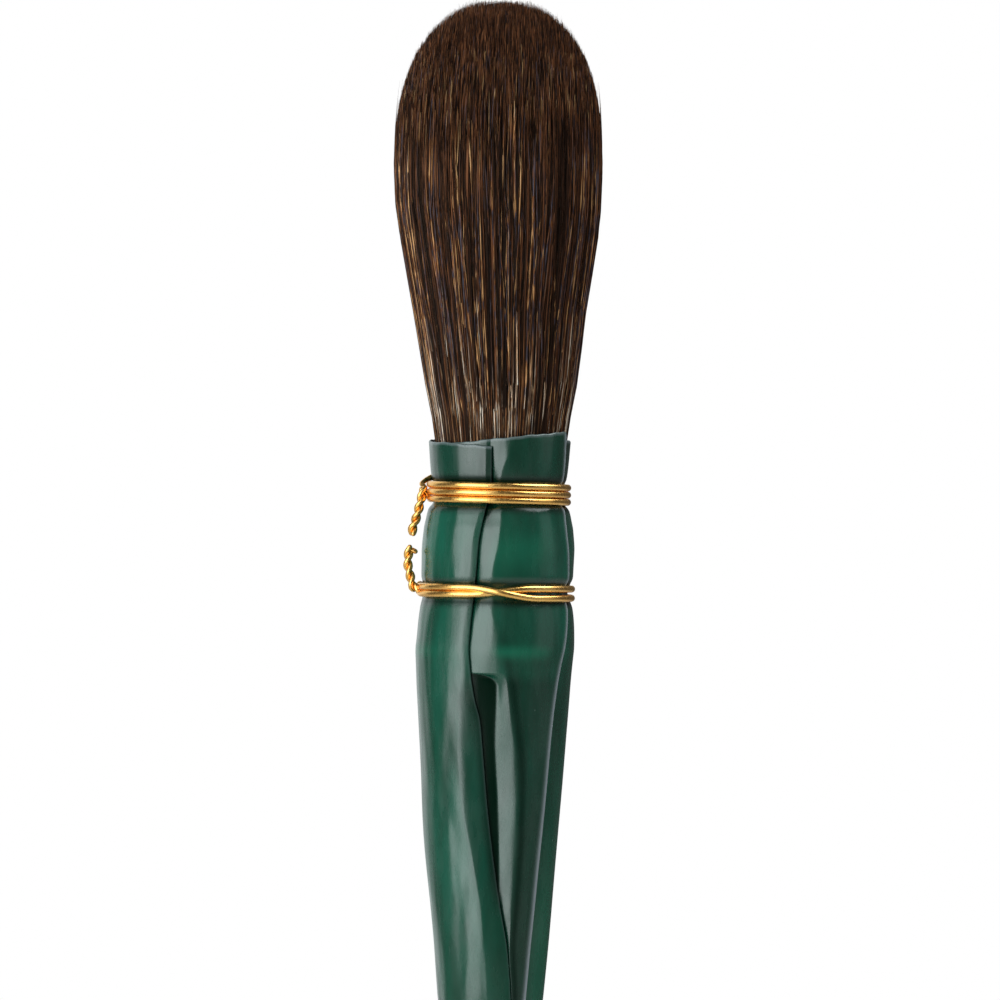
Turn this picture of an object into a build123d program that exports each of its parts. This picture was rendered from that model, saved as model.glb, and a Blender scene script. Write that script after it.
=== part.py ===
from build123d import *
from math import cos, exp, pi, radians, sin
import os

# Large round mop brush for calligraphy and wash work.
# A bundle of hair is tied with thread, stopped with resin, rolled into two leaves of plastic film
# and bound with brass wire. The film runs on down and is bound onto the end of a turned handle.
#
# Millimetres, +Z up along the brush. The origin is the middle of the handle's butt end.
# Azimuth is measured from the front (-Y) towards the right (+X), in degrees.

# Lengths along the brush
RIM_Z = 224.0  # open rim of the sheath, where the hair comes out
SHEATH_LENGTH = 84.0
KNOT_LENGTH = 27.8  # hair held inside the sheath
HAIR_OUT = 52.6  # hair beyond the rim
TENON_TOP_Z = 191.0

# Free hair
RIM_HAIR_RADIUS = 8.1
BELLY_RADIUS = 12.66
BELLY_HEIGHT = 33.0
FLARE_POWER = 1.3
DOME_POWER = 2.35
FREE_POINTS = 24  # points along the free hair's outline

# Bending joint of the hair: a ball on the bound hair, inside a socket in the free hair
BEND_HEIGHT = 4.0  # joint centre above the rim
BALL_RADIUS = 12.0
BALL_GAP = 0.3

# Sheath: two overlapping leaves of film
FILM = 0.30
LAYER_GAP = 0.08
WIDEST_DROP = 25.0  # below the rim
RIM_RADIUS = 8.50
WIDEST_RADIUS = 9.45
END_RADIUS = 4.90
TAPER_POWER = 1.1
HIDDEN_LAP = 50.0  # degrees of the front leaf that lie hidden under the wrap leaf
FRONT_LEAF_RISE = 1.0  # how far the front leaf stands above the rim at its right corner
SECTION_STEP = 1.0
WRAP_POINTS, FRONT_POINTS = 31, 17  # points round each leaf's cross-section

# Wire bindings: drop below the rim, depth and half width of the pinch
UPPER_PINCH = (6.4, 1.25, 2.5)
LOWER_PINCH = (18.2, 0.90, 2.2)
NECK_PINCH = (71.0, 0.25, 2.4)
TAIL_PINCH = (79.0, 0.20, 2.0)
WIRE_RADIUS = 0.42
TURN_PITCH = 0.86
TWIST_RADIUS = 0.58  # the twisted pair of wire ends, taken as one round rod
WIRE_CLEARANCE = 0.05  # between a wire and the film below it

# Thread windings on the hair knot
UPPER_THREAD_DROP, LOWER_THREAD_DROP = 13.0, 25.2
THREAD_TURNS = 4
THREAD_RADIUS = 0.25
THREAD_PITCH = 0.51
THREAD_CLEARANCE = 0.01
KNOT_CLEARANCE = 0.05

# Resin stopper under the knot
RESIN_THICKNESS = 1.6

# Handle
BUTT_RADIUS = 3.0
GRIP_RADIUS = 4.6
GRIP_LOW_Z, GRIP_HIGH_Z = 95.0, 125.0
SNUG_LENGTH = 9.0  # the stretch of tenon that fills the end of the sheath
TENON_TIP_RADIUS = 3.6


def outline_face(*lines):
    """A flat face inside lines that follow each other round a closed outline."""
    return Face(Wire([edge for line in lines for edge in line.edges()]))


def revolved(*lines):
    """A solid of revolution about the brush's axis, from an outline in radius and height."""
    return revolve(Plane.XZ * outline_face(*lines), Axis.Z)


def ramp(value, low, high):
    """0 below low, 1 above high, and a smooth slope between."""
    part = min(max((value - low) / (high - low), 0.0), 1.0)
    return part * part * (3 - 2 * part)


def hair_radius(height):
    """Radius of the free hair above the rim: a nearly straight flare, then a full round dome."""
    if height <= BELLY_HEIGHT:
        narrow = (1 - height / BELLY_HEIGHT) ** FLARE_POWER
        return BELLY_RADIUS - (BELLY_RADIUS - RIM_HAIR_RADIUS) * narrow
    rise = min((height - BELLY_HEIGHT) / (HAIR_OUT - BELLY_HEIGHT), 1.0)
    return BELLY_RADIUS * (1 - rise**DOME_POWER) ** (1 / DOME_POWER)


def sheath_radius(drop):
    """Mean outer radius of the sheath at a distance below its rim, with the wires' pinches."""
    if drop <= WIDEST_DROP:
        radius = RIM_RADIUS + (WIDEST_RADIUS - RIM_RADIUS) * sin(pi / 2 * drop / WIDEST_DROP)
    else:
        along = (drop - WIDEST_DROP) / (SHEATH_LENGTH - WIDEST_DROP)
        radius = WIDEST_RADIUS - (WIDEST_RADIUS - END_RADIUS) * along**TAPER_POWER
    for centre, depth, half_width in (UPPER_PINCH, LOWER_PINCH, NECK_PINCH, TAIL_PINCH):
        radius -= depth * exp(-(((drop - centre) / half_width) ** 4))
    return radius


def film_outer(drop, layer):
    """Outer radius of the film: layer 0 lies inside, layer 1 outside, and between them it slopes."""
    return sheath_radius(drop) + (layer - 0.5) * (FILM + LAYER_GAP)


def cavity_radius(drop):
    """Radius of the space inside the sheath."""
    return film_outer(drop, 0) - FILM


def wrap_edge(drop):
    """Azimuth of the wrap leaf's cut edge, which crosses the front from left to right going down."""
    return -7 - 9 * ramp(drop, 0, WIDEST_DROP) + 43 * ramp(drop, WIDEST_DROP, SHEATH_LENGTH)


def front_edge(drop):
    """Azimuth of the front leaf's right edge."""
    return 44 + 29 * (1 - drop / SHEATH_LENGTH) ** 1.8


def tuck_edge(drop):
    """Azimuth where the wrap leaf starts, hidden under the front leaf."""
    return wrap_edge(drop) + 0.55 * (front_edge(drop) - wrap_edge(drop))


def wrap_layer(azimuth, drop):
    """The wrap leaf starts inside, under the front leaf, and ends outside, over it."""
    return ramp(azimuth, front_edge(drop) + 4, wrap_edge(drop) - HIDDEN_LAP + 356)


def front_layer(azimuth, drop):
    """The front leaf starts inside, under the wrap leaf, and ends outside, over its start."""
    return ramp(azimuth, wrap_edge(drop) + 1, tuck_edge(drop) - 1)


def leaf_section(drop, start, end, layer, count):
    """One cross-section of a leaf: an open band of film, rolled round the brush."""
    turns = [start + (end - start) * i / (count - 1) for i in range(count)]

    def curve(depth):
        points = []
        for azimuth in turns:
            radius = film_outer(drop, layer(azimuth, drop)) - depth
            angle = radians(azimuth)
            points.append((radius * sin(angle), -radius * cos(angle), RIM_Z - drop))
        return Spline(*points)

    outer, inner = curve(0), curve(FILM)
    ends = [Line(outer @ side, inner @ side) for side in (0, 1)]
    return outline_face(outer, ends[1], inner, ends[0])


def section_drops(lowest):
    """Drops of the cross-sections from the rim down to the lowest one."""
    whole = int(lowest / SECTION_STEP)
    drops = [SECTION_STEP * i for i in range(whole + 1)]
    return drops if drops[-1] == lowest else [*drops, lowest]


def make_sheath_wrap_leaf():
    """The leaf that goes from under the front leaf, round the right and back, to the left front."""
    sections = [
        leaf_section(d, tuck_edge(d), wrap_edge(d) + 360, wrap_layer, WRAP_POINTS)
        for d in section_drops(SHEATH_LENGTH)
    ]
    return loft(sections, ruled=True)


def make_sheath_front_leaf():
    """The leaf across the front, with its top edge cut on a slant that rises to the right."""
    sections = [
        leaf_section(d, wrap_edge(d) - HIDDEN_LAP, front_edge(d), front_layer, FRONT_POINTS)
        for d in [-FRONT_LEAF_RISE, *section_drops(SHEATH_LENGTH)]
    ]
    slant = Plane(origin=(0, 0, RIM_Z), z_dir=(-FRONT_LEAF_RISE / RIM_RADIUS, 0, 1))
    return split(loft(sections, ruled=True), bisect_by=slant, keep=Keep.BOTTOM)


def hair_body():
    """All the hair, from the bottom of the knot to the tip, before the joint divides it."""
    knot = [(cavity_radius(d) - KNOT_CLEARANCE, RIM_Z - d) for d in section_drops(KNOT_LENGTH)]
    heights = [HAIR_OUT * sin(pi / 2 * i / FREE_POINTS) for i in range(1, FREE_POINTS)]
    free = [(hair_radius(height), RIM_Z + height) for height in heights]
    flare = (free[1][0] - free[0][0], free[1][1] - free[0][1])
    tip, bottom = (0, RIM_Z + HAIR_OUT), (0, RIM_Z - KNOT_LENGTH)
    return revolved(
        Polyline(*reversed(knot), free[0]),
        Spline(*free, tip, tangents=[flare, (-1, 0)]),
        Polyline(tip, bottom, knot[-1]),
    )


def joint_ball(radius):
    """A ball about the bending joint's centre, carried down as a wide cylinder below it."""
    below = Cylinder(2 * radius, 4 * radius, align=(Align.CENTER, Align.CENTER, Align.MAX))
    return Pos(0, 0, RIM_Z + BEND_HEIGHT) * (Sphere(radius) + below)


def thread_line_radius(drop):
    """Radius of a thread winding's centre line: the thread lies flush with the hair."""
    return cavity_radius(drop) - KNOT_CLEARANCE - THREAD_RADIUS


def thread_groove(drop):
    """The space a thread winding takes out of the knot."""
    height = THREAD_TURNS * THREAD_PITCH + 2 * THREAD_RADIUS + 0.1
    floor = thread_line_radius(drop) - THREAD_RADIUS - THREAD_CLEARANCE
    return Pos(0, 0, RIM_Z - drop) * (Cylinder(2 * floor, height) - Cylinder(floor, height))


def make_hair_root():
    """The bound hair: the knot in the sheath, and above the rim the ball that the free hair sits on."""
    root = hair_body() & joint_ball(BALL_RADIUS)
    return root - thread_groove(UPPER_THREAD_DROP) - thread_groove(LOWER_THREAD_DROP)


def make_hair_tuft():
    """The free hair, with a socket underneath."""
    return hair_body() - joint_ball(BALL_RADIUS + BALL_GAP)


def winding(centre_z, centre_radius, turns, pitch, section_radius):
    """Round turns of thread or wire, starting and ending at the left side."""
    height = turns * pitch
    path = Pos(0, 0, centre_z - height / 2) * Rot(0, 0, 180) * Helix(pitch, height, centre_radius)
    start = Plane(origin=path @ 0, z_dir=path % 0)
    return sweep(start * Circle(section_radius), path, is_frenet=True)


def make_thread(drop):
    radius = thread_line_radius(drop)
    return winding(RIM_Z - drop, radius, THREAD_TURNS, THREAD_PITCH, THREAD_RADIUS)


def binding_radius(pinch, turns):
    """Centre line of a wire binding, which rests on the film at its outermost turns."""
    reach = turns * TURN_PITCH / 2
    widest = max(film_outer(pinch[0] + side * reach, 1) for side in (-1, 0, 1))
    return widest + WIRE_RADIUS + WIRE_CLEARANCE


def make_binding(pinch, turns, twist):
    """A wire binding and its twisted ends, which pass points given outwards and upwards of the coil."""
    centre_z = RIM_Z - pinch[0]
    radius = binding_radius(pinch, turns)
    coil = winding(centre_z, radius, turns, TURN_PITCH, WIRE_RADIUS)
    points = [(-radius - out, 0, centre_z + up) for out, up in [(0, 0), *twist]]
    path = FilletPolyline(*points, radius=0.5)
    rod = sweep(Plane(origin=path @ 0, z_dir=path % 0) * Circle(TWIST_RADIUS), path)
    return coil + rod


def make_resin_stopper():
    """The hardened resin that holds the hair roots together, bevelled underneath."""
    top = RIM_Z - KNOT_LENGTH
    bottom = top - RESIN_THICKNESS
    radius = cavity_radius(KNOT_LENGTH + RESIN_THICKNESS) - KNOT_CLEARANCE
    side = [(radius, top), (radius, (top + bottom) / 2), (radius * 0.75, bottom)]
    return revolved(Polyline((0, top), *side, (0, bottom), (0, top)))


def make_handle():
    """Turned handle: round butt, long swell to a straight grip, then a tenon inside the sheath."""
    sheath_end = RIM_Z - SHEATH_LENGTH
    rises = section_drops(SNUG_LENGTH)
    snug = [(cavity_radius(SHEATH_LENGTH - up) - KNOT_CLEARANCE, sheath_end + up) for up in rises]
    nose = TENON_TIP_RADIUS
    butt = (BUTT_RADIUS, BUTT_RADIUS)
    grip = (GRIP_RADIUS, GRIP_LOW_Z)
    tip = (nose, TENON_TOP_Z - nose)
    return revolved(
        ThreePointArc((0, 0), (butt[0] * sin(pi / 4), butt[1] * (1 - cos(pi / 4))), butt),
        Spline(butt, (BUTT_RADIUS + 0.9, GRIP_LOW_Z / 2), grip, tangents=[(0, 1), (0, 1)]),
        Polyline(grip, (GRIP_RADIUS, GRIP_HIGH_Z), *snug, tip),
        ThreePointArc(tip, (nose * sin(pi / 4), tip[1] + nose * cos(pi / 4)), (0, TENON_TOP_Z)),
        Line((0, TENON_TOP_Z), (0, 0)),
    )


def main():
    parts = {
        "hair_tuft": make_hair_tuft(),
        "hair_root": make_hair_root(),
        "knot_thread_upper": make_thread(UPPER_THREAD_DROP),
        "knot_thread_lower": make_thread(LOWER_THREAD_DROP),
        "resin_stopper": make_resin_stopper(),
        "sheath_wrap_leaf": make_sheath_wrap_leaf(),
        "sheath_front_leaf": make_sheath_front_leaf(),
        "upper_binding_wire": make_binding(UPPER_PINCH, 3, [(1.1, -0.7), (1.5, -2.6), (2.0, -5.0)]),
        "lower_binding_wire": make_binding(LOWER_PINCH, 2, [(0.8, 0.1), (1.5, 2.4), (1.5, 5.1)]),
        "neck_binding_wire": make_binding(NECK_PINCH, 3, [(1.2, -0.4), (1.4, -3.2)]),
        "tail_binding_wire": make_binding(TAIL_PINCH, 2, [(1.2, 0.3), (1.4, 3.0)]),
        "handle": make_handle(),
    }
    os.makedirs("parts", exist_ok=True)
    for name, shape in parts.items():
        export_step(shape, f"parts/{name}.step")


main()
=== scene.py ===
import math

import bpy
import numpy as np
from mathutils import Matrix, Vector


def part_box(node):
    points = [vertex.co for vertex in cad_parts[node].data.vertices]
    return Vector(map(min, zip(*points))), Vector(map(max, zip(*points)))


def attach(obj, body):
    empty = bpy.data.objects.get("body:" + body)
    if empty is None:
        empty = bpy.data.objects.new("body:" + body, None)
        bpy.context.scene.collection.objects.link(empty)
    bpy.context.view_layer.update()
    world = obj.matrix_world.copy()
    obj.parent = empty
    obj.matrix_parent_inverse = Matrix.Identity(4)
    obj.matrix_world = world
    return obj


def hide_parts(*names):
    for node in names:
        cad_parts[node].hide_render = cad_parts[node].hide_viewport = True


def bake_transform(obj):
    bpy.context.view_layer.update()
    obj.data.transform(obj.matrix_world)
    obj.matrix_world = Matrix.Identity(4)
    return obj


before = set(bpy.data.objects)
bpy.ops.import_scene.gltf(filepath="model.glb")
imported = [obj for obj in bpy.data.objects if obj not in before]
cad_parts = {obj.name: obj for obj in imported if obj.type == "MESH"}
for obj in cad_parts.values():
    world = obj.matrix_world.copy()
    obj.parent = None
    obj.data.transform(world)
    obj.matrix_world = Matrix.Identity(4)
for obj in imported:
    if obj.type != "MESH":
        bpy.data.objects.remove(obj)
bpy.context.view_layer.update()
rng = np.random.default_rng(7)

# All shapes are worked out in millimetres and turned into metres when the mesh is made.
MM = 0.001
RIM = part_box("sheath_wrap_leaf")[1].z / MM
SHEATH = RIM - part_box("sheath_wrap_leaf")[0].z / MM
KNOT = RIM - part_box("resin_stopper")[1].z / MM
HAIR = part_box("hair_tuft")[1].z / MM - RIM
BELLY_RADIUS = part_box("hair_tuft")[1].x / MM - .15
BELLY = 33.0  # height above the rim at which the tuft is widest
DOME_POWER = 2.35  # above 2, the dome is blunter than an ellipse
WIDEST = 25.0  # drop below the rim at which the sheath is widest
THICK, GAP = 0.30, 0.06
LAYER = THICK + GAP
WIRE = 0.425
UPPER, LOWER, NECK, TAIL = 6.4, 18.2, 71.0, 79.0  # drops of the four bindings


# ---------- curves and meshes ----------

def through(stations, at):
    """A smooth curve through the stations, which doesn't overshoot them."""
    x, y = np.array(stations, float).T
    width, slope = np.diff(x), np.diff(y) / np.diff(x)
    tangent = np.zeros(len(x))
    rising = slope[:-1] * slope[1:] > 0
    total = np.where(rising, slope[:-1] + slope[1:], 1)
    tangent[1:-1] = np.where(rising, 2 * slope[:-1] * slope[1:] / total, 0)
    tangent[0], tangent[-1] = slope[0], slope[-1]
    at = np.clip(np.asarray(at, float), x[0], x[-1])
    i = np.clip(np.searchsorted(x, at) - 1, 0, len(width) - 1)
    t = (at - x[i]) / width[i]
    start = (1 + 2 * t) * (1 - t) ** 2 * y[i] + t * (1 - t) ** 2 * width[i] * tangent[i]
    end = t * t * (3 - 2 * t) * y[i + 1] + t * t * (t - 1) * width[i] * tangent[i + 1]
    return start + end


def smooth(value, low, high):
    t = np.clip((value - low) / (high - low), 0, 1)
    return t * t * (3 - 2 * t)


def bump(value, centre, width):
    return np.exp(-(((value - centre) / width) ** 2))


def new_mesh(name, points, quads, uv=None, attributes=None):
    """A smooth mesh from points in mm. uv gives each corner's place on the bake layout."""
    mesh = bpy.data.meshes.new(name)
    mesh.vertices.add(len(points))
    mesh.vertices.foreach_set("co", (np.asarray(points, np.float32) * MM).ravel())
    mesh.loops.add(quads.size)
    mesh.loops.foreach_set("vertex_index", quads.astype(np.int32).ravel())
    mesh.polygons.add(len(quads))
    mesh.polygons.foreach_set("loop_start", np.arange(0, quads.size, 4, dtype=np.int32))
    mesh.update(calc_edges=True)
    if uv is not None:
        layer = mesh.uv_layers.new(name="OFBake")
        layer.data.foreach_set("uv", uv.astype(np.float32).ravel())
    for key, values in (attributes or {}).items():
        attribute = mesh.attributes.new(key, "FLOAT", "POINT")
        attribute.data.foreach_set("value", np.asarray(values, np.float32).ravel())
    mesh.validate()
    mesh.shade_smooth()
    thing = bpy.data.objects.new(name, mesh)
    bpy.context.scene.collection.objects.link(thing)
    return thing


def grid_quads(rows, columns):
    """Faces, and their corners' layout places, of a grid that closes round its columns."""
    r, c = np.meshgrid(np.arange(rows - 1), np.arange(columns), indexing="ij")
    corners = np.stack(
        [np.stack([r, c], -1), np.stack([r, c + 1], -1),
         np.stack([r + 1, c + 1], -1), np.stack([r + 1, c], -1)], -2).reshape(-1, 4, 2)
    quads = corners[..., 0] * columns + corners[..., 1] % columns
    uv = np.stack([corners[..., 1] / columns, corners[..., 0] / (rows - 1)], -1)
    return quads, uv * 0.98 + 0.01


def grid_mesh(name, points, attributes=None):
    rows, columns = points.shape[:2]
    quads, uv = grid_quads(rows, columns)
    return new_mesh(name, points.reshape(-1, 3), quads, uv, attributes)


def tube_points(path, radius, sides=12):
    """Rings round a path, closed with rounded ends."""
    path = np.asarray(path, float)
    radius = np.broadcast_to(radius, len(path)).astype(float)
    tangent = np.gradient(path, axis=0)
    tangent /= np.linalg.norm(tangent, axis=1)[:, None]
    side = np.cross(tangent[0], (0.3, 0.2, 1.0))
    rings = []
    for p, t, r in zip(path, tangent, radius):
        side = side - t * (side @ t)
        side /= np.linalg.norm(side)
        turn = np.linspace(0, 2 * np.pi, sides, endpoint=False)[:, None]
        rings.append((p, t, np.cos(turn) * side + np.sin(turn) * np.cross(t, side), r))
    caps = np.radians([89.5, 65, 40, 20])
    p, t, ring, r = rings[0]
    made = [p - t * r * math.sin(a) + ring * r * math.cos(a) for a in caps]
    made += [p + ring * r for p, t, ring, r in rings]
    p, t, ring, r = rings[-1]
    made += [p + t * r * math.sin(a) + ring * r * math.cos(a) for a in caps[::-1]]
    return np.array(made)


def round_points(profile, sides=128):
    """Rings round the Z axis from (radius, z) points."""
    turn = np.linspace(0, 2 * np.pi, sides, endpoint=False)
    radius, z = np.array(profile, float).T
    radius = radius[:, None]
    return np.stack([radius * np.sin(turn), -radius * np.cos(turn), z[:, None] + 0 * turn], -1)


# ---------- materials ----------

class Finish:
    """A procedural material that is built node by node."""

    def __init__(self, name):
        self.material = bpy.data.materials.new(name)
        self.material.use_nodes = True
        self.tree = self.material.node_tree
        self.tree.nodes.clear()
        self.output = self.tree.nodes.new("ShaderNodeOutputMaterial")

    def add(self, kind, inputs=None, **settings):
        node = self.tree.nodes.new("ShaderNode" + kind)
        for key, value in settings.items():
            setattr(node, key, value)
        for key, value in (inputs or {}).items():
            if isinstance(value, bpy.types.NodeSocket):
                self.tree.links.new(value, node.inputs[key])
            else:
                node.inputs[key].default_value = value
        return node

    def place(self, scale=(1, 1, 1)):
        """Object coordinates in millimetres, times scale."""
        coordinates = self.add("TexCoord").outputs["Object"]
        stretch = tuple(s / MM for s in scale)
        return self.add("Mapping", {"Vector": coordinates, "Scale": stretch}).outputs["Vector"]

    def noise(self, size, scale=(1, 1, 1), detail=3, roughness=0.5, distortion=0):
        """Noise whose features are about size mm across, stretched where scale is below 1."""
        return self.add("TexNoise", {
            "Vector": self.place(scale), "Scale": 1 / size, "Detail": detail,
            "Roughness": roughness, "Distortion": distortion}).outputs["Fac"]

    def spread(self, value, low, high, to_low=0.0, to_high=1.0):
        return self.add("MapRange", {
            "Value": value, "From Min": low, "From Max": high,
            "To Min": to_low, "To Max": to_high}).outputs["Result"]

    def ramp(self, value, *stops):
        node = self.add("ValToRGB", {"Fac": value})
        elements = node.color_ramp.elements
        while len(elements) < len(stops):
            elements.new(0.5)
        for element, (place, colour) in zip(elements, stops):
            element.position, element.color = place, (*colour, 1)
        return node.outputs["Color"]

    def mix(self, factor, a, b):
        node = self.add("Mix", data_type="RGBA")
        for socket, value in ((node.inputs[0], factor), (node.inputs[6], a), (node.inputs[7], b)):
            if isinstance(value, bpy.types.NodeSocket):
                self.tree.links.new(value, socket)
            else:
                socket.default_value = (*value, 1) if isinstance(value, tuple) else value
        return node.outputs[2]

    def maths(self, operation, a, b, clamp=False):
        return self.add("Math", {0: a, 1: b}, operation=operation, use_clamp=clamp).outputs[0]

    def attribute(self, name):
        return self.add("Attribute", attribute_name=name).outputs["Fac"]

    def relief(self, height, distance, strength=1.0, normal=None):
        inputs = {"Height": height, "Distance": distance * MM, "Strength": strength}
        if normal is not None:
            inputs["Normal"] = normal
        return self.add("Bump", inputs).outputs["Normal"]

    def surface(self, **inputs):
        named = {key.replace("_", " "): value for key, value in inputs.items()}
        shader = self.add("BsdfPrincipled", named)
        self.tree.links.new(shader.outputs["BSDF"], self.output.inputs["Surface"])
        return self.material


def film_finish():
    f = Finish("film")
    cloudy = f.noise(11, (1, 1, 0.30), 4, 0.6)
    grain = f.noise(1.6, (1, 1, 0.12), 3)
    green = f.ramp(cloudy, (0.34, (0.0030, 0.038, 0.019)), (0.52, (0.0040, 0.060, 0.034)),
                   (0.68, (0.0050, 0.092, 0.056)))
    green = f.mix(f.spread(grain, 0.42, 0.75, 0, 0.4), green, (0.0055, 0.076, 0.046))
    streaks = f.noise(3.2, (1, 1, 0.22), 2)
    green = f.mix(f.spread(streaks, 0.46, 0.68, 0, 0.45), green, (0.003, 0.026, 0.014))
    # Darker film, and painted shade in the pocket, beside the ridge, on the flap and in the creases along
    # the wires.
    green = f.mix(f.attribute("painted_shade_and_dark_film"), green, (0.0009, 0.010, 0.005))
    green = f.mix(f.attribute("pale"), green, (0.008, 0.145, 0.080))
    specks = f.add("TexVoronoi", {"Vector": f.place((1, 1, 0.8)), "Scale": 0.22}, feature="F1")
    specks = f.spread(specks.outputs["Distance"], 0.035, 0.02)
    green = f.mix(f.maths("MULTIPLY", specks, 0.6), green, (0.28, 0.42, 0.36))
    # Pale cut edges; along the front leaf's right edge the pale line is partly a painted highlight.
    green = f.mix(f.attribute("cut"), green, (0.27, 0.31, 0.335))
    rough = f.spread(f.noise(1.4, (1, 1, 0.25), 3, 0.6), 0.35, 0.7, 0.20, 0.34)
    ripple = f.relief(f.noise(2.3, (1, 1, 0.20), 1, 0.4), 0.22)
    fine = f.relief(f.noise(0.28, (1, 1, 0.8), 3, 0.7), 0.010, 0.6, ripple)
    # Where that painted shade is strongest, the film's reflections are turned down too.
    shine = f.spread(f.attribute("painted_shade_and_dark_film"), 0.6, 1.0, 0.66, 0.10)
    return f.surface(Base_Color=green, Roughness=rough, Normal=fine, IOR=1.5, Specular_IOR_Level=shine)


def wire_finish():
    f = Finish("wire")
    tint = f.ramp(f.noise(1.8, (1, 1, 1), 3), (0.3, (0.90, 0.49, 0.130)), (0.7, (1.0, 0.595, 0.185)))
    rough = f.spread(f.noise(0.5, (1, 1, 1), 4), 0.3, 0.7, 0.22, 0.34)
    scratch = f.relief(f.noise(0.12, (1, 1, 3), 2), 0.006, 0.4)
    return f.surface(Base_Color=tint, Metallic=1.0, Roughness=rough, Normal=scratch)


def hair_finish():
    f = Finish("hair")
    root = f.attribute("root")
    broken = f.spread(f.noise(0.5, (1, 1, 0.03), 2, 0.6), 0.3, 0.7, -0.10, 0.06)
    tone = f.maths("ADD", f.attribute("tone"), broken, clamp=True)
    # Each ramp goes from dark hairs through brown ones to a few bluish glints and then the palest hairs.
    middle = f.ramp(
        tone, (0.0, (0.0040, 0.0024, 0.0021)), (0.36, (0.0120, 0.0062, 0.0046)),
        (0.56, (0.038, 0.0155, 0.0088)), (0.80, (0.160, 0.057, 0.0230)), (0.85, (0.023, 0.020, 0.030)),
        (0.915, (0.100, 0.088, 0.112)), (0.94, (0.25, 0.086, 0.027)), (1.0, (0.88, 0.47, 0.20)))
    # Lighter, redder hairs towards the dome; the lighter part is painted light on the dome.
    tips = f.ramp(
        tone, (0.0, (0.0060, 0.0037, 0.0032)), (0.32, (0.019, 0.0092, 0.0066)),
        (0.52, (0.070, 0.0285, 0.0160)), (0.76, (0.38, 0.145, 0.062)), (0.83, (0.60, 0.26, 0.115)),
        (0.86, (0.055, 0.047, 0.064)), (0.915, (0.20, 0.17, 0.21)), (0.94, (0.45, 0.17, 0.055)),
        (1.0, (0.98, 0.62, 0.30)))
    lower = f.ramp(
        tone, (0.0, (0.0070, 0.0038, 0.0028)), (0.40, (0.0200, 0.0094, 0.0060)),
        (0.62, (0.080, 0.033, 0.015)), (0.78, (0.32, 0.138, 0.052)), (0.82, (0.05, 0.037, 0.037)),
        (0.90, (0.64, 0.38, 0.19)), (0.96, (1.0, 0.91, 0.77)))
    colour = f.mix(root, f.mix(f.attribute("tip"), middle, tips), lower)
    uneven = f.noise(1.6, (2.5, 2.5, 0.10), 2)
    colour = f.mix(f.spread(uneven, 0.40, 0.65, 0.35, 0.0), colour, (0.013, 0.0070, 0.0052))
    return f.surface(Base_Color=colour, Roughness=f.spread(uneven, 0.3, 0.7, 0.34, 0.5), IOR=1.5,
                     Specular_IOR_Level=0.13, Specular_Tint=(1.0, 0.72, 0.5, 1.0))


def bundle_finish():
    f = Finish("hair_bundle")
    strands = f.noise(0.35, (1, 1, 0.03), 3, 0.6)
    colour = f.ramp(strands, (0.35, (0.005, 0.003, 0.0024)), (0.75, (0.026, 0.013, 0.009)))
    return f.surface(Base_Color=colour, Roughness=0.65, Normal=f.relief(strands, 0.12))


def thread_finish():
    f = Finish("thread")
    fibres = f.noise(0.18, (1, 1, 3), 3, 0.65)
    colour = f.ramp(fibres, (0.3, (0.42, 0.33, 0.20)), (0.7, (0.70, 0.60, 0.42)))
    return f.surface(Base_Color=colour, Roughness=0.8, Normal=f.relief(fibres, 0.06))


def resin_finish():
    f = Finish("resin")
    cloudy = f.noise(2.5, (1, 1, 1), 4, 0.6, 0.8)
    colour = f.ramp(cloudy, (0.3, (0.22, 0.09, 0.02)), (0.7, (0.48, 0.24, 0.07)))
    return f.surface(Base_Color=colour, Roughness=f.spread(cloudy, 0.3, 0.7, 0.12, 0.3),
                     Normal=f.relief(cloudy, 0.1, 0.4), Coat_Weight=0.5)


def wood_finish():
    f = Finish("varnished_wood")
    grain = f.noise(1.1, (1, 1, 0.035), 5, 0.62, 0.25)
    bands = f.noise(3.4, (1, 1, 0.02), 2, 0.5, 0.4)
    pores = f.noise(0.32, (1, 1, 0.05), 2)
    colour = f.ramp(bands, (0.35, (0.150, 0.062, 0.022)), (0.5, (0.235, 0.105, 0.040)),
                    (0.66, (0.330, 0.160, 0.066)))
    colour = f.mix(f.spread(grain, 0.42, 0.7, 0, 0.75), colour, (0.095, 0.036, 0.014))
    colour = f.mix(f.spread(pores, 0.62, 0.72, 0, 0.7), colour, (0.045, 0.018, 0.008))
    rough = f.spread(f.noise(5, (1, 1, 0.5), 4), 0.3, 0.7, 0.24, 0.38)
    return f.surface(Base_Color=colour, Roughness=rough, Normal=f.relief(grain, 0.05, 0.3),
                     Coat_Weight=0.8, Coat_Roughness=0.08)


FILM, BRASS, FIBRE, BUNDLE = film_finish(), wire_finish(), hair_finish(), bundle_finish()
THREAD, RESIN, WOOD = thread_finish(), resin_finish(), wood_finish()


def finish_piece(piece, material):
    piece.data.materials.clear()
    piece.data.materials.append(material)
    return piece


# ---------- the film sheath ----------
# drop is the distance below the rim, and height the distance above it. azimuth is in degrees:
# 0 in front, 90 at the right, 270 at the left. Stations are (drop, value) or (height, value).

# Radius of the sheath above its widest place, pinched by the two front wires
COLLAR = [(0, 8.6), (3.6, 8.32), (4.7, 8.15), (5.3, 7.9), (6.4, 7.85), (7.5, 7.9), (8.4, 8.52), (9.6, 8.8),
          (10.8, 9.02), (13.5, 9.2), (16.3, 9.18), (17.4, 8.85), (18.2, 8.68), (19, 8.88), (20.2, 9.22),
          (22.6, 9.45), (WIDEST, 9.52), (30, 9.52)]
# Sideways place of the sheath's middle, which isn't quite straight
CENTRE = [(0, .18), (12, .17), (16.2, .12), (18.2, -.05), (20.2, .05), (23, 0), (26, -.17), (30, -.26),
          (34, -.25), (42, -.15), (52, -.08), (62, 0), (84, 0)]
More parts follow.
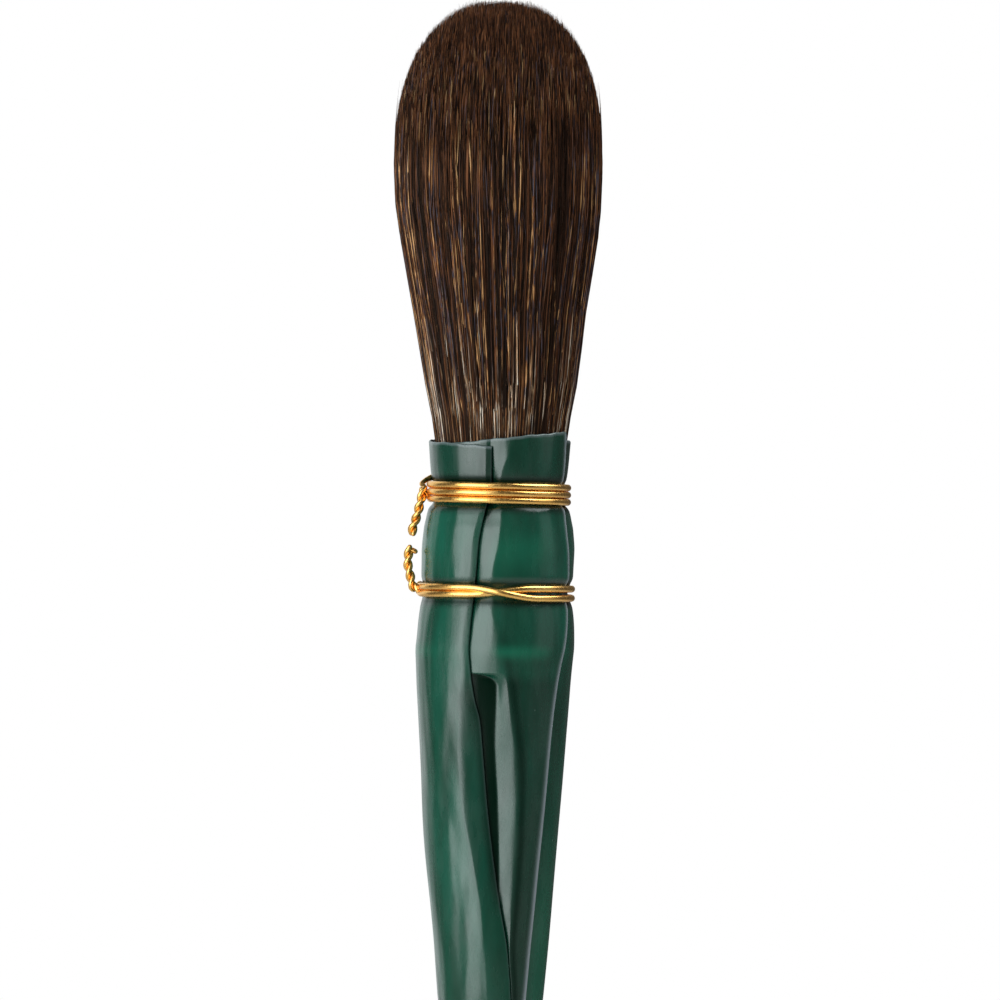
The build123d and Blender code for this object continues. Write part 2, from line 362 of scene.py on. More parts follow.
# Radius of the free hair below its belly, and sideways place of its middle
FLARE = [(-2, 7.9), (0, 8.05), (2, 8.35), (5, 8.87), (8.4, 9.3), (11.8, 9.84), (15, 10.28), (18.5, 10.89),
         (22, 11.45), (25, 11.95), (28.6, 12.34), (BELLY, BELLY_RADIUS)]
LEAN = [(0, .25), (5, .18), (10, .04), (15, -.17), (20, -.27), (25, -.4), (30, -.57), (38, -.62),
        (46, -.53), (52, -.45)]
# Azimuth of the wrap leaf's cut edge, degrees back from it to its fold, and how steeply the flap dips
WRAP_EDGE = [(0, -8), (4.8, -8.2), (7.8, -11.8), (12, -16.3), (16.8, -18.2), (19.2, -19.4), (24, -20.7),
             (27.8, -18.5), (31.2, -15.3), (33.6, -11.4), (38.4, -8.9), (43.2, -6.2), (49.2, -.6),
             (55.2, 6.7), (61.2, 16.2), (67, 21.9), (84, 30)]
WRAP_FLAP = [(0, 4), (19, 4.5), (27.8, 6), (31.6, 12.5), (38, 19.5), (44, 20.5), (50, 18.5), (55, 18),
             (61, 22.8), (67, 25.4), (84, 26)]
FLAP_SLOPE = [(0, .25), (19, .25), (35, .30), (50, .26), (60, .16), (66, .12), (71, .01), (84, 0)]
# Azimuths on the front leaf: its right edge, the ridge where its slope ends and the foot where it begins
FRONT_EDGE = [(0, 66), (6, 70), (10.8, 65), (16.8, 69), (23, 63.5), (27.4, 58), (33.2, 53.5), (45, 49),
              (56.5, 46), (67, 43.5), (84, 40)]
FRONT_RIDGE = [(0, 11), (1.8, 7.5), (3.6, 1.8), (6.4, -1.5), (9.6, 1.8), (12.6, -.3), (16.8, -6.3),
               (19.4, -6), (22, -1), (24.5, 2.5), (26.5, 6), (28, 9), (30, 11.3), (33.6, 14.6),
               (38.4, 19.6), (43.2, 21.4), (49, 21.9), (55, 20.6), (60, 19.1), (67, 25), (84, 33)]
FRONT_FOOT = [(28, 4), (31, 3.8), (33.6, 3.2), (36, 3), (38.4, 3.6), (43.2, 5.6), (49, 7.5), (55, 8.6),
              (60, 12.6), (62, 17)]
# Depth of the front leaf's valley, and how far the leaf sinks at the right of its ridge
SLOPE_DEPTH = [(0, .55), (6.4, .66), (18, .66), (KNOT, .62), (28.5, .92), (31, .98), (34, 1.12), (40, 1.25),
               (50, 1.1), (60, .95), (67, .75), (72, LAYER + .02), (84, LAYER + .02)]
FRONT_SINK = [(0, 0), (40, 0), (55, .15), (62, .3), (67, .3), (72, 0), (84, 0)]


def sheath_radius(azimuth, drop):
    """Outside of the finished sheath, wrinkled at the wires and fluted at the back."""
    share = np.clip((drop - WIDEST) / (SHEATH - WIDEST), 0, 1)
    radius = np.where(drop < WIDEST, through(COLLAR, drop), 9.52 - 4.62 * share ** 1.1)
    radius = radius - .25 * bump(drop, NECK, 2.4) - .20 * bump(drop, TAIL, 2.0)
    radius = radius + .035 * bump(drop, WIDEST + .3, 1.3) + .03 * bump(drop, 13, 1.4)
    turn = np.radians(azimuth)
    pleats = np.sin(19 * turn + .7) + .8 * np.sin(31 * turn + 2.1) + .6 * np.sin(43 * turn + 4.4)
    for wire in (UPPER, LOWER, NECK, TAIL):
        radius = radius + .022 * pleats * np.exp(-np.abs(drop - wire) / 2.0)
    flute = .42 * (bump(azimuth, 150, 16) + bump(azimuth, 228, 18) + .6 * bump(azimuth, 190, 12))
    radius = radius - flute * smooth(drop, 29, 40) * (1 - smooth(drop, 60, 70))
    radius = radius - .11 * bump(azimuth, 325, 11) * bump(drop, 50, 14)
    radius = radius + .28 * bump(azimuth, 272, 36) * bump(drop, 47.5, 7.5)
    radius = radius + .22 * smooth(azimuth, 325, 352) * smooth(drop, 48, 60) * (1 - smooth(drop, 66, 73))
    return radius + .035 * np.sin(3 * turn + drop * .11) + .02 * np.sin(5 * turn - drop * .23 + 1)


def flap_drop(azimuth, drop):
    """How far the wrap leaf dips towards its cut edge."""
    fold = through(WRAP_EDGE, drop) - through(WRAP_FLAP, drop)
    arc = np.radians(np.maximum(azimuth - fold, 0)) * 8.5
    return through(FLAP_SLOPE, drop) * (np.sqrt(arc ** 2 + .02) - np.sqrt(.02))


def wrap_drop(azimuth, drop):
    """Depth of the wrap leaf's outside under the sheath's. It starts under the front leaf."""
    edge = through(FRONT_EDGE, drop)
    under = (LAYER + through(FRONT_SINK, drop)) * (1 - smooth(azimuth, edge + 1, edge + 42))
    return under + flap_drop(azimuth - 360, drop)


def front_drop(azimuth, drop):
    """Depth of the front leaf's outside: hidden, then a valley, a slope and a flat part."""
    edge, ridge = through(WRAP_EDGE, drop), through(FRONT_RIDGE, drop)
    lap = LAYER + flap_drop(edge, drop) + .04
    depth = np.maximum(through(SLOPE_DEPTH, drop), lap)
    foot = front_foot(drop)
    share, soft = (azimuth - foot) / np.maximum(ridge - foot, 1), .10
    rise = (share + np.sqrt(share ** 2 + soft ** 2)) / 2
    rise = rise - (share - 1 + np.sqrt((share - 1) ** 2 + soft ** 2)) / 2
    sink = through(FRONT_SINK, drop)
    back = np.clip((foot - azimuth) / np.maximum(foot - edge, .5), 0, 1)
    seen = depth - (depth - sink) * rise + (lap - depth) * back * (drop > KNOT)
    fold = edge - through(WRAP_FLAP, drop)
    deeper = smooth(azimuth, fold - 14, edge) * np.where(drop > KNOT, .04, depth - lap + .04)
    hidden = LAYER + flap_drop(azimuth, drop) + deeper
    return np.where(azimuth < edge, hidden, seen)


def front_foot(drop):
    """Azimuth of the slope's foot, the pocket's right side. The pocket's top corner there is round."""
    edge = through(WRAP_EDGE, drop)
    below = np.sqrt(1 - (1 - np.clip((drop - KNOT - .1) / 1.5, 0, 1)) ** 2)
    return edge + .4 + below * np.maximum(through(FRONT_FOOT, drop) - edge - .4, 0)


def columns(segments, drop):
    """Azimuths of a leaf's columns. segments: (start, end, count, power), each start a row of values."""
    made = []
    for start, end, count, power in segments:
        t = np.linspace(0, 1, count, endpoint=False)[None, :]
        t = 1 - (1 - t) ** power if power > 0 else t ** -power
        made.append(start[:, None] + (end - start)[:, None] * t)
    made.append(segments[-1][1][:, None])
    return np.concatenate(made, 1)


def leaf(name, node, segments, depth, top, shade, edge_paleness_and_highlight, lip):
    """A closed film leaf with rounded edges. segments, depth, top and shade are functions.
    The edge paleness argument is how pale its cut edge is, and lip that of its last columns, as shares.
    Along the front leaf's right edge that paleness is partly a painted highlight."""
    even = np.concatenate([np.arange(0, KNOT - .4, .29), np.arange(KNOT - .4, KNOT + 1.4, .09),
                           np.arange(KNOT + 1.4, SHEATH, .34)])
    even = even[even < SHEATH - THICK]
    caps = np.radians([0, 30, 60, 88])
    drops = np.concatenate([np.zeros(4), even[1:], np.full(4, SHEATH - THICK / 2)])
    half = np.full(len(drops), THICK / 2)
    half[:4], half[-4:] = half[:4] * np.cos(caps[::-1]), half[-4:] * np.cos(caps)
    lift = np.zeros(len(drops))
    lift[:4], lift[-4:] = THICK / 2 * np.sin(caps[::-1]), -THICK / 2 * np.sin(caps)
    azimuth = columns(segments(drops), drops)
    drop = drops[:, None] + top(azimuth) * (1 - smooth(drops, 0, 6))[:, None]
    middle = sheath_radius(azimuth, drop) - depth(azimuth, drop) - THICK / 2
    round_edge = np.radians([25, 55, 90, 125, 155])
    half, lift = half[:, None], lift[:, None]

    def edge(column, sign):
        radius = middle[:, column:column + 1]
        side = azimuth[:, column:column + 1] + np.degrees(sign * half * np.sin(round_edge) / radius)
        offset = radius + half * np.cos(round_edge)
        return side, offset, drop[:, column:column + 1] + 0 * side

    outer = (azimuth, middle + half, drop)
    inner = (azimuth[:, ::-1], (middle - half)[:, ::-1], drop[:, ::-1])
    far, near = edge(azimuth.shape[1] - 1, 1), edge(0, -1)
    near = tuple(part[:, ::-1] for part in near)
    angle, radius, down = (np.concatenate(parts, 1) for parts in zip(outer, far, inner, near))
    turn = np.radians(angle)
    sideways = radius * np.sin(turn) + through(CENTRE, down)
    points = np.stack([sideways, -radius * np.cos(turn), RIM - down + lift], -1)
    cut, count = np.zeros(points.shape[:2]), azimuth.shape[1]
    # Pale cut edge and lip columns; on the front leaf this pale line is partly a painted highlight.
    cut[:, count:count + 6] = edge_paleness_and_highlight
    cut[:, count - len(lip):count] = edge_paleness_and_highlight * np.array(lip)
    cut[:4], cut[-4:] = .35, .35
    pale, painted_shade_and_dark_film = shade(angle, down)
    piece = grid_mesh(name, points, {"cut": cut, "pale": pale, "painted_shade_and_dark_film": painted_shade_and_dark_film})
    finish_piece(piece, FILM)
    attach(piece, "brush")
    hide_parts(node)
    return piece


def wrap_segments(drop):
    edge, flap = 360 + through(WRAP_EDGE, drop), through(WRAP_FLAP, drop)
    start = np.maximum(through(FRONT_EDGE, drop) - 20, through(FRONT_RIDGE, drop) + 1)
    side, back = np.full(len(drop), 105.0), np.full(len(drop), 252.0)
    return [(start, side, 20, 1), (side, back, 38, 1), (back, edge - flap, 42, 1.4),
            (edge - flap, edge, 18, -1.2)]


def front_segments(drop):
    edge, flap = through(WRAP_EDGE, drop), through(WRAP_FLAP, drop)
    ridge, foot = through(FRONT_RIDGE, drop), front_foot(drop)
    ridge = np.maximum(ridge, foot + 1)
    side = through(FRONT_EDGE, drop)
    lip = np.degrees(.9 / sheath_radius(side, drop))
    return [(edge - 50, edge - flap, 10, 1), (edge - flap, edge, 8, 1), (edge, foot, 10, 1),
            (foot, ridge, 22, 1), (ridge, side - lip, 24, -1.3), (side - lip, side, 5, 1)]


def wrap_top(azimuth):
    ragged = .05 * np.sin(np.radians(azimuth * 9)) + .03 * np.sin(np.radians(azimuth * 23) + 1)
    level = [(30, .1), (90, .1), (180, -.25), (250, .1), (270, .36), (335, .75), (354, 1.1)]
    return ragged + through(level, azimuth)


def front_top(azimuth):
    ragged = .04 * np.sin(np.radians(azimuth * 11)) + .03 * np.sin(np.radians(azimuth * 27))
    return .36 + ragged - .112 * (8.5 * np.sin(np.radians(azimuth)) + 3.5)


def beside_wires(drop):
    """Painted shade in the film's creases along the two front wires."""
    return sum(bump(drop, at, .55) for at in (4.9, 8.2, 17.2, 19.4))


def threads_below(drop):
    """The knot's threads press the film and show through it as paler bands."""
    return .75 * bump(drop, WIDEST + .3, .75) + .45 * bump(drop, 13.2, 2.2)


def wrap_shade(azimuth, drop):
    pale = threads_below(drop) * (.4 + .3 * np.sin(np.radians(azimuth * 3)))
    pale = pale + .5 * bump(azimuth, 62, 22) * smooth(drop, 42, 60)
    edge = 360 + through(WRAP_EDGE, drop)
    fold = edge - through(WRAP_FLAP, drop)
    # Painted shade on the flap past its fold, where it turns from the light, and in the creases along the
    # wires.
    flap = .3 * smooth(azimuth, fold - 3, fold + 3) + .45 * smooth(azimuth, edge - 9, edge)
    flap = flap * smooth(drop, 27, 32) * (1 - smooth(drop, 52, 60)) + .85 * beside_wires(drop)
    # The film is also darker near the rim and on the right side.
    painted_shade_and_dark_film = flap + .5 * (1 - smooth(drop, 3, 9)) + .3 * bump(azimuth, 90, 40) * (1 - smooth(drop, 30, 50))
    return pale, np.clip(painted_shade_and_dark_film, 0, 1)


def front_shade(azimuth, drop):
    ridge, edge = through(FRONT_RIDGE, drop), through(WRAP_EDGE, drop)
    pale = threads_below(drop) * smooth(azimuth, ridge - 12, ridge + 6) * (1 - smooth(azimuth, 34, 52))
    below = smooth(drop, KNOT - .2, KNOT + 1.5) * (1 - smooth(drop, 68, 74))
    # Darker film below the knot, with painted shade beside the ridge.
    painted_shade_and_dark_film = below * (.40 + .46 * bump(azimuth, ridge + 4, 5))
    # Painted shade in the pocket under the wrap leaf's edge.
    pocket = 1 - smooth(azimuth, front_foot(drop) - 2, front_foot(drop) + 2)
    painted_shade_and_dark_film = np.maximum(painted_shade_and_dark_film, pocket * smooth(drop, KNOT - .25, KNOT + .1))
    above = smooth(drop, 21, 25) * (1 - smooth(drop, KNOT, KNOT + 1.5))
    # Painted shade beside the ridge above the knot.
    painted_shade_and_dark_film = painted_shade_and_dark_film + .5 * bump(azimuth, ridge + 4, 4) * above
    # Painted shade in the crease under the upper wire and along the wires.
    painted_shade_and_dark_film = painted_shade_and_dark_film + .95 * bump(drop, 8.6, 1.6) * (1 - smooth(azimuth, edge + 4, edge + 8))
    painted_shade_and_dark_film = painted_shade_and_dark_film + .9 * beside_wires(drop)
    return pale, np.clip(painted_shade_and_dark_film + .2 * (1 - smooth(drop, 3, 9)), 0, 1)


leaf("wrap_leaf_film", "sheath_wrap_leaf", wrap_segments, wrap_drop, wrap_top, wrap_shade,
     edge_paleness_and_highlight=.08, lip=(0, .4))
# The front leaf's pale right edge and lip are partly a painted highlight.
leaf("front_leaf_film", "sheath_front_leaf", front_segments, front_drop, front_top, front_shade,
     edge_paleness_and_highlight=1, lip=(.06, .18, .45, .9, 1))


# ---------- brass wire bindings ----------

def on_ring(azimuth, radius, drop, centre=0.0):
    turn = np.radians(azimuth)
    return np.stack([radius * np.sin(turn) + centre, -radius * np.cos(turn), RIM - drop + 0 * turn], -1)


def path_through(points, step=.12):
    """Points evenly along a smooth line through the given points."""
    points = np.asarray(points, float)
    along = np.concatenate([[0], np.cumsum(np.linalg.norm(np.diff(points, axis=0), axis=1))])
    at = np.linspace(0, along[-1], int(along[-1] / step) + 2)
    return np.stack([through(np.stack([along, points[:, i]], 1), at) for i in range(3)], -1)


def twisted_pair(line, pitch=2.7, spread=.31, phase=0.0):
    """Two strands that wind round a line, which ease apart at its start."""
    along = np.concatenate([[0], np.cumsum(np.linalg.norm(np.diff(line, axis=0), axis=1))])
    tangent = np.gradient(line, axis=0)
    tangent /= np.linalg.norm(tangent, axis=1)[:, None]
    front = np.cross(tangent, (0, 1, 0))
    front /= np.linalg.norm(front, axis=1)[:, None]
    deep = np.cross(tangent, front)
    turn = (2 * np.pi * along / pitch + phase)[:, None]
    swing = spread * (np.cos(turn) * front + np.sin(turn) * deep)
    return line + swing, line - swing


def binding(name, node, start, ring, end, thin=.30):
    """One wire: a twisted start, the turns round the sheath and a twisted end."""
    whole = np.concatenate([start[::-1], ring, end])
    along = np.concatenate([[0], np.cumsum(np.linalg.norm(np.diff(whole, axis=0), axis=1))])
    even = np.arange(0, along[-1], .16)
    path = np.stack([np.interp(even, along, whole[:, i]) for i in range(3)], -1)
    for _ in range(3):
        path[1:-1] = (path[:-2] + 2 * path[1:-1] + path[2:]) / 4
    first, last = along[len(start)], along[len(start) + len(ring) - 1]
    on_sheath = smooth(even, first - 1.5, first + 1.5) * (1 - smooth(even, last - 1.5, last + 1.5))
    radius = thin + (WIRE - thin) * on_sheath
    piece = grid_mesh(name, tube_points(path, radius, 14))
    finish_piece(piece, BRASS)
    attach(piece, "brush")
    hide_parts(node)


def coil(drop, radius, turns, centre=0.0, pitch=2 * WIRE + .01):
    """Turns that run from the left round the back, and step down only there."""
    azimuth = np.arange(258, 270 - 360 * turns, -2.5)
    done = (270 - azimuth) / 360
    whole = np.floor(done)
    step = whole + smooth(done - whole, .05, .5)
    down = pitch * (step - (turns + 1) / 2)
    return on_ring(azimuth, radius, drop + down + .1 * np.sin(np.radians(azimuth)), centre)


upper_line = path_through([(-9.0, -.6, RIM - 5.9), (-9.2, -1.0, RIM - 7.2), (-9.55, -1.1, RIM - 8.6),
                           (-9.9, -.9, RIM - 9.9), (-10.2, -.8, RIM - 10.8), (-10.2, -.8, RIM - 11.4)])
start, end = twisted_pair(upper_line, phase=.4)
lead = np.array([(-8.75, 1.1, RIM - 4.95), (-9.25, .2, RIM - 5.4)])
start = np.concatenate([lead, start])
binding("upper_wire_binding", "upper_binding_wire", start, coil(UPPER, 8.27, 3, .07), end)

azimuth = np.arange(-84, 632, 2.5)
front = (azimuth + 180) % 360 - 180
below = through([(-84, 18.5), (-22, 18.48), (32, 17.72), (90, 17.75), (180, 17.72), (270, 17.68),
                 (338, 17.66), (392, 18.88), (450, 18.85), (540, 18.3), (632, 17.4)], azimuth)
lifted = np.where(azimuth < 180, -.06, .74) * bump(front, 6, 15)  # one turn crosses over the other
lower_ring = on_ring(azimuth, 9.12 + lifted, below, -.14)
lower_line = path_through([(-9.75, -.9, RIM - 18.1), (-10.15, -1.0, RIM - 17.5), (-10.4, -1.0, RIM - 16.4),
                           (-10.7, -1.0, RIM - 14.9), (-10.6, -1.0, RIM - 13.3)])
start, end = twisted_pair(lower_line, phase=2.2)
start = np.concatenate([start, [(-10.5, -1.3, RIM - 13.0)]])
end = np.concatenate([end, [(-10.2, -.8, RIM - 13.3), (-9.7, -.8, RIM - 13.6)]])
binding("lower_wire_binding", "lower_binding_wire", start, lower_ring, end)

for name, node, drop, turns in (("neck_wire_binding", "neck_binding_wire", NECK, 3),
                                ("tail_wire_binding", "tail_binding_wire", TAIL, 2)):
    radius = float(sheath_radius(np.array(40.0), np.array(drop))) + WIRE
    x = -radius - .7
    line = path_through([(x, -.5, RIM - drop + .3), (x - .5, -.8, RIM - drop - .9),
                         (x - .9, -.8, RIM - drop - 2.6), (x - 1.0, -.6, RIM - drop - 3.6)])
    start, end = twisted_pair(line, phase=1.0)
    binding(name, node, start, coil(drop, radius, turns), end)


# ---------- hair ----------

def hair_radius(height):
    """Outside of the hair: it flares out of the sheath and closes in a blunt dome."""
    rise = np.clip((height - BELLY) / (HAIR - BELLY), 0, 1)
    dome = BELLY_RADIUS * (1 - rise ** DOME_POWER) ** (1 / DOME_POWER)
    return np.where(height < BELLY, through(FLARE, height), dome)


def lie(height):
    """The line that a strand on the outside follows; inner ones follow a share of it."""
    rise = np.clip((height - BELLY) / (HAIR - BELLY), 0, 1)
    mouth = 1 - .035 * (1 - smooth(height, 0, 7))
    return np.where(height < BELLY, hair_radius(height) * mouth, BELLY_RADIUS * (1 - .16 * rise ** 2))


heights = np.linspace(0, HAIR, 800)
shares = np.where(heights < BELLY, 1, hair_radius(heights) / lie(heights))


def end_height(share):
    """Height at which a strand at that share of the radius meets the dome."""
    return np.interp(-share, -shares, heights)


def strands(name, share, low, high, segments, width, wild=0.0, tones=(0, 1)):
    """Tapered three-sided hairs, as one mesh. share, low, high and width have one value a hair."""
    count = len(share)
    t = np.linspace(0, 1, segments + 1)[None, :]
    height = low[:, None] + (high - low)[:, None] * t
    clump = rng.integers(0, 150, count)
    home = rng.uniform(0, 360, 150)[clump]
    azimuth = rng.uniform(0, 360, count)
    towards = (home - azimuth + 180) % 360 - 180
    near = np.abs(towards) < 14
    azimuth = azimuth[:, None] + np.where(near, towards * .45, 0)[:, None] * smooth(height, 6, HAIR)
    stray = np.where(rng.random(count) < .10, 7, 2.3) + wild
    azimuth = azimuth + (rng.normal(0, 1, count) * stray)[:, None] * (height - low[:, None]) / 40
    wave = np.sin(height * rng.uniform(.08, .25, count)[:, None] + rng.uniform(0, 6, count)[:, None])
    azimuth = azimuth + rng.normal(0, .9, count)[:, None] * wave
    wave = np.sin(height * .14 + rng.uniform(0, 6, count)[:, None])
    radius = share[:, None] * lie(height) + rng.normal(0, .03, count)[:, None] * wave
    radius = np.minimum(radius, lie(height) + np.maximum(.05, (share[:, None] - 1) * lie(height) + .05))
    valley = bump((azimuth + 185) % 360 - 180, 0, 15) * (1 - smooth(height, 0, 6))
    radius = np.minimum(radius, lie(height) - .75 * valley)
    turn = np.radians(azimuth)
    sideways = radius * np.sin(turn) + through(LEAN, height)
    line = np.stack([sideways, -radius * np.cos(turn), RIM + height], -1)
    thick = width[:, None] / 2 * (1 - .85 * smooth(high[:, None] - height, 4.5, 0))
    around = np.radians([0, 120, 240])[None, None, :] + rng.uniform(0, 6, count)[:, None, None]
    flat = np.stack([np.cos(around), np.sin(around), 0 * around], -1)
    points = line[:, :, None, :] + thick[:, :, None, None] * flat
    tone = tones[0] + (tones[1] - tones[0]) * rng.random(count)
    tone = np.clip(tone + .06 * np.sin(home / 9), 0, 1)
    root = 1 - smooth(height + 4 * rng.normal(0, 1, count)[:, None], 0, 13)
    root = root * (rng.random(count)[:, None] < .85)
    quads, uv = grid_quads(segments + 1, 3)
    whole = quads[None] + (np.arange(count) * 3 * (segments + 1))[:, None, None]
    cells = math.ceil(math.sqrt(count))
    cell = np.stack([np.arange(count) % cells, np.arange(count) // cells], -1)
    layout = (cell[:, None, None, :] + .15 + .7 * uv[None]) / cells
    # Share of the tip colour, rising with height: partly painted light on the dome.
    tip = .2 * smooth(height, 15, 27) + .8 * smooth(height, 27, 44)
    attributes = {"tone": np.repeat(tone, 3 * (segments + 1)), "root": np.repeat(root[..., None], 3, -1),
                  "tip": np.repeat(tip[..., None], 3, -1)}
    piece = new_mesh(name, points.reshape(-1, 3), whole.reshape(-1, 4), layout.reshape(-1, 2), attributes)
    finish_piece(piece, FIBRE)
    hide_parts("hair_tuft")
    bend(piece)
    return piece


def bend(piece):
    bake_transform(piece)


def side_hairs(name, count):
    share = 1 - .14 * rng.random(count) ** 1.3
    high = end_height(np.clip(share, 0, .999)) + rng.normal(-.25, .35, count)
    width = .11 + .10 * rng.random(count) ** 1.6
    strands(name, share, np.full(count, -1.5), np.clip(high, 26, HAIR), 9, width)


def dome_hairs(name, count):
    share = .90 * np.sqrt(rng.random(count))
    high = end_height(share) + rng.normal(-.25, .28, count)
    low = high - rng.uniform(7, 14, count)
    width = rng.uniform(.12, .20, count)
    strands(name, share, low, np.minimum(high, HAIR + .1), 5, width, tones=(.05, .85))


for number in (1, 2, 3):
    side_hairs(f"side_hair_{number}", 3400)
for number in (1, 2, 3):
    dome_hairs(f"tip_hair_{number}", 5200)


def fringe(name, count):
    """Very fine ends that soften the outline of the dome."""
    share = np.sqrt(rng.uniform(.08, .998, count))
    high = end_height(share) + rng.normal(.1, .28, count)
    low = high - rng.uniform(2.5, 5, count)
    strands(name, share, low, np.minimum(high, HAIR + .4), 4, rng.uniform(.045, .07, count), tones=(.1, .8))


def loose_hairs(name, count):
    """A few pale hairs that cross the others."""
    low = rng.uniform(-1.5, 14, count)
    high = np.minimum(low + rng.uniform(9, 26, count), 36)
    strands(name, rng.uniform(1.0, 1.01, count), low, high, 8, rng.uniform(.08, .12, count), 12, (.88, 1))


def side_down(name, count):
    """Very fine hairs that stand off the sides a little."""
    low = rng.uniform(6, 30, count)
    high = np.minimum(low + rng.uniform(8, 16, count), 43)
    strands(name, rng.uniform(1.0, 1.022, count), low, high, 5, rng.uniform(.04, .06, count), 5, (.1, .75))


fringe("fine_ends", 6500)
side_down("side_down", 1500)
loose_hairs("loose_hair", 130)


def fluted(profile, ridges, depth, sides=360):
    """Turned rings with fine lengthwise ridges, like packed hairs."""
    points = round_points(profile, sides)
    turn = np.linspace(0, 2 * np.pi, sides, endpoint=False)[None, :]
    along = points[..., 2]
    wave = .6 * np.sin(ridges * turn + .6 * np.sin(along * .2))
    wave = wave + .4 * np.sin(ridges * 2.37 * turn + along * .05)
    radius = np.maximum(np.hypot(points[..., 0], points[..., 1]), 1)
    points[..., :2] *= (1 + depth * wave / radius)[..., None]
    return points


CORE_TOP = HAIR - 1.6  # the core under the strands ends this high above the rim


def core_radius(height):
    return max(float(hair_radius(min(height * HAIR / CORE_TOP, HAIR))) - 1.25, .02)


dome = BELLY + (CORE_TOP - BELLY) * np.sin(np.linspace(.05, 1, 22) * np.pi / 2)
core_heights = np.concatenate([np.linspace(-.6, BELLY, 24), dome])
core_profile = [(.02, RIM - .6)] + [(core_radius(h), RIM + h) for h in core_heights]
core = grid_mesh("hair_core", fluted(core_profile, 97, .10))
finish_piece(core, BUNDLE)
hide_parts("hair_tuft")
bend(core)


def radius_at_back(drop):
    return float(sheath_radius(np.array(180.0), np.array(drop)))


knot_drops = np.linspace(-1.5, KNOT - .1, 40)
knot_profile = [(radius_at_back(max(d, 0)) - 1.32, RIM - d) for d in knot_drops]
knot_profile = [(.02, knot_profile[0][1])] + knot_profile + [(.02, knot_profile[-1][1])]
knot = grid_mesh("bound_hair_knot", fluted(knot_profile, 97, .06))
finish_piece(knot, BUNDLE)
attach(knot, "brush")
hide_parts("hair_root")


# ---------- parts inside the sheath ----------

def thread_winding(name, node, drop, turns=4, pitch=.51, radius=.24):
    turn = np.linspace(0, 2 * np.pi * turns, 90 * turns)
    reach = radius_at_back(drop) - 1.18
    rise = (turn / 2 / np.pi - turns / 2) * pitch
    line = np.stack([reach * np.sin(turn), -reach * np.cos(turn), RIM - drop + rise], -1)
    points = tube_points(line, radius, 10)
    around = np.arange(10)[None, :] * 2 * np.pi / 10
    along = np.arange(len(points))[:, None]
    ply = .035 * np.cos(2 * around + along * .9)
    middle = points.mean(1, keepdims=True)
    points = middle + (points - middle) * (1 + ply / radius)[..., None]
    piece = grid_mesh(name, points)
    finish_piece(piece, THREAD)
    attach(piece, "brush")
    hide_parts(node)


thread_winding("upper_knot_thread", "knot_thread_upper", 13.0)
thread_winding("lower_knot_thread", "knot_thread_lower", 25.2)

resin_outline = [(.02, 0), (7.2, 0), (7.45, .3), (7.3, .8), (6.6, 1.2), (5.0, 1.45), (2.5, 1.58),
                 (.02, 1.6)]
resin_profile = [(radius, RIM - KNOT - below) for radius, below in resin_outline]
resin = grid_mesh("resin_plug", fluted(resin_profile, 7, .12, 96))
finish_piece(resin, RESIN)
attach(resin, "brush")
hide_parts("resin_stopper")

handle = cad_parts["handle"]
finish_piece(handle, WOOD)


# ---------- camera, light and floor ----------

DAYLIGHT = (.935, .99, 1.0)
LIT_PLACE = Vector((0, 0, .2))  # metres, where all the lights point
LENS = 300  # millimetres; a long lens, so that the view is nearly flat
CAMERA_DROP = 7.2  # millimetres below the rim
CAMERA_ROLL = -.87  # degrees


def softbox(name, azimuth, elevation, distance, width, height, radiance):
    """A large soft light. azimuth runs from the camera's side, positive to the right."""
    a, e = math.radians(azimuth), math.radians(elevation)
    direction = Vector((math.sin(a) * math.cos(e), -math.cos(a) * math.cos(e), math.sin(e)))
    light = bpy.data.lights.new(name, "AREA")
    light.shape, light.size, light.size_y = "RECTANGLE", width, height
    light.energy = radiance * math.pi * width * height
    light.color = DAYLIGHT
    lamp = bpy.data.objects.new(name, light)
    lamp.location = LIT_PLACE + direction * distance
    lamp.rotation_euler = direction.to_track_quat("Z", "Y").to_euler()
    lamp.visible_camera = False
    bpy.context.scene.collection.objects.link(lamp)


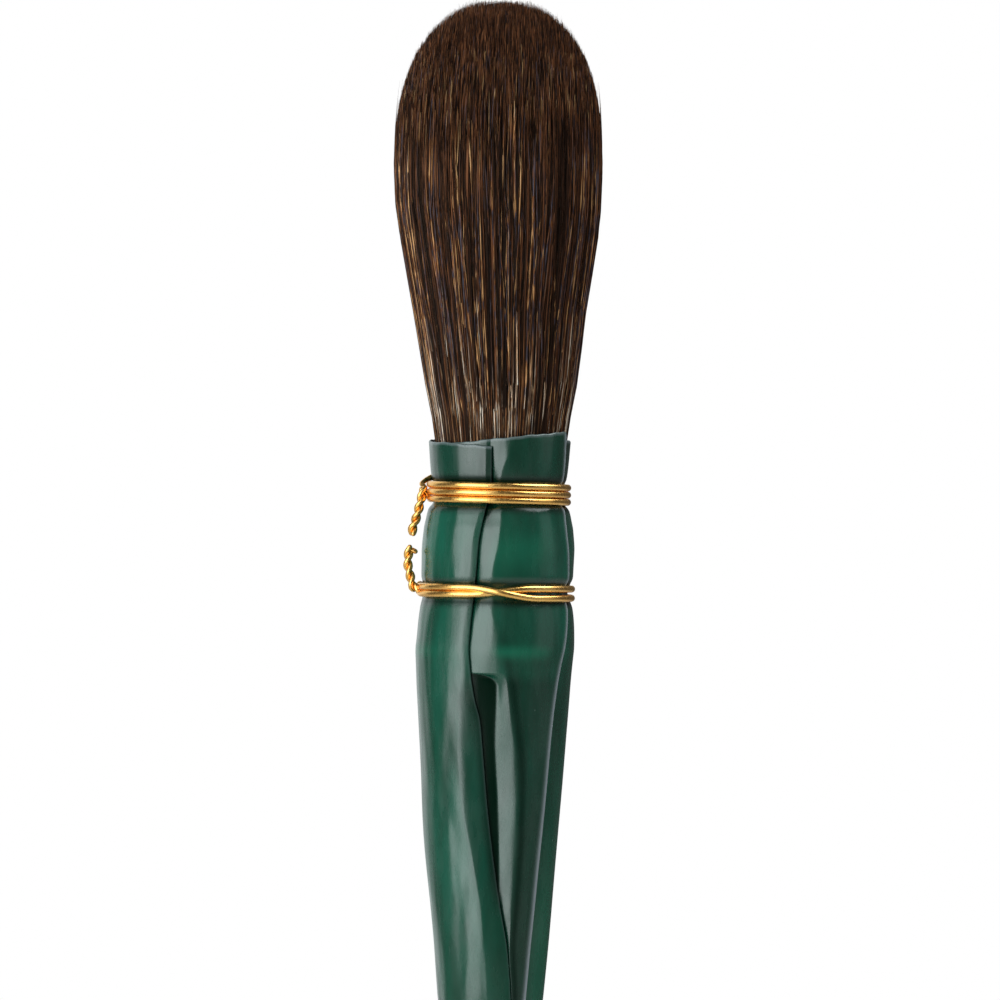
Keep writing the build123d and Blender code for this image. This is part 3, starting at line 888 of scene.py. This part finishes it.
softbox("left_softbox", -43.5, -5, .9, .78, 1.0, 4.2)
softbox("left_top_softbox", -43.5, 42, .9, .9, .55, 1.6)
softbox("rear_left_softbox", -152, 14, 1.0, 1.2, 1.15, .92)
softbox("right_top_softbox", 98, 56, 1.0, .9, .6, 5.4)
softbox("right_fill", 80, 8, 1.0, .6, .5, .4)

world = bpy.data.worlds.new("studio")
world.use_nodes = True
nodes, links = world.node_tree.nodes, world.node_tree.links
nodes.clear()
output, shader = nodes.new("ShaderNodeOutputWorld"), nodes.new("ShaderNodeMixShader")
seen, around = nodes.new("ShaderNodeBackground"), nodes.new("ShaderNodeBackground")
seen.inputs["Color"].default_value, seen.inputs["Strength"].default_value = (1, 1, 1, 1), 1.0
around.inputs["Color"].default_value, around.inputs["Strength"].default_value = (1, 1, 1, 1), .085
links.new(nodes.new("ShaderNodeLightPath").outputs["Is Camera Ray"], shader.inputs[0])
links.new(around.outputs[0], shader.inputs[1])
links.new(seen.outputs[0], shader.inputs[2])
links.new(shader.outputs[0], output.inputs["Surface"])
bpy.context.scene.world = world

floor_points = round_points([(r, 0) for r in (.02, 150, 300, 600, 900, 1200)], 96)
floor_quads, _ = grid_quads(*floor_points.shape[:2])
floor = new_mesh("floor", floor_points.reshape(-1, 3), floor_quads)
f = Finish("pale_floor")
distance = f.add("VectorMath", {0: f.add("TexCoord").outputs["Object"]}, operation="LENGTH")
fade = f.spread(distance.outputs["Value"], .25, 1.15)
paper = f.ramp(f.noise(40, detail=3), (0.3, (.65, .637, .625)), (0.7, (.67, .657, .645)))
cover = f.add("BsdfDiffuse", {"Color": paper})
clear = f.add("BsdfTransparent")
blended = f.add("MixShader", {0: fade, 1: cover.outputs[0], 2: clear.outputs[0]})
f.tree.links.new(blended.outputs[0], f.output.inputs["Surface"])
floor.data.materials.append(f.material)

lens = bpy.data.cameras.new("camera")
lens.lens, lens.sensor_width = LENS, 36
lens.clip_start, lens.clip_end = .01, 20
camera = bpy.data.objects.new("camera", lens)
camera.location = (.00023, -1.0, (RIM - CAMERA_DROP) * MM)
camera.rotation_euler = (math.pi / 2, math.radians(CAMERA_ROLL), 0)
bpy.context.scene.collection.objects.link(camera)
bpy.context.scene.camera = camera
bpy.context.scene.view_settings.view_transform = "Standard"
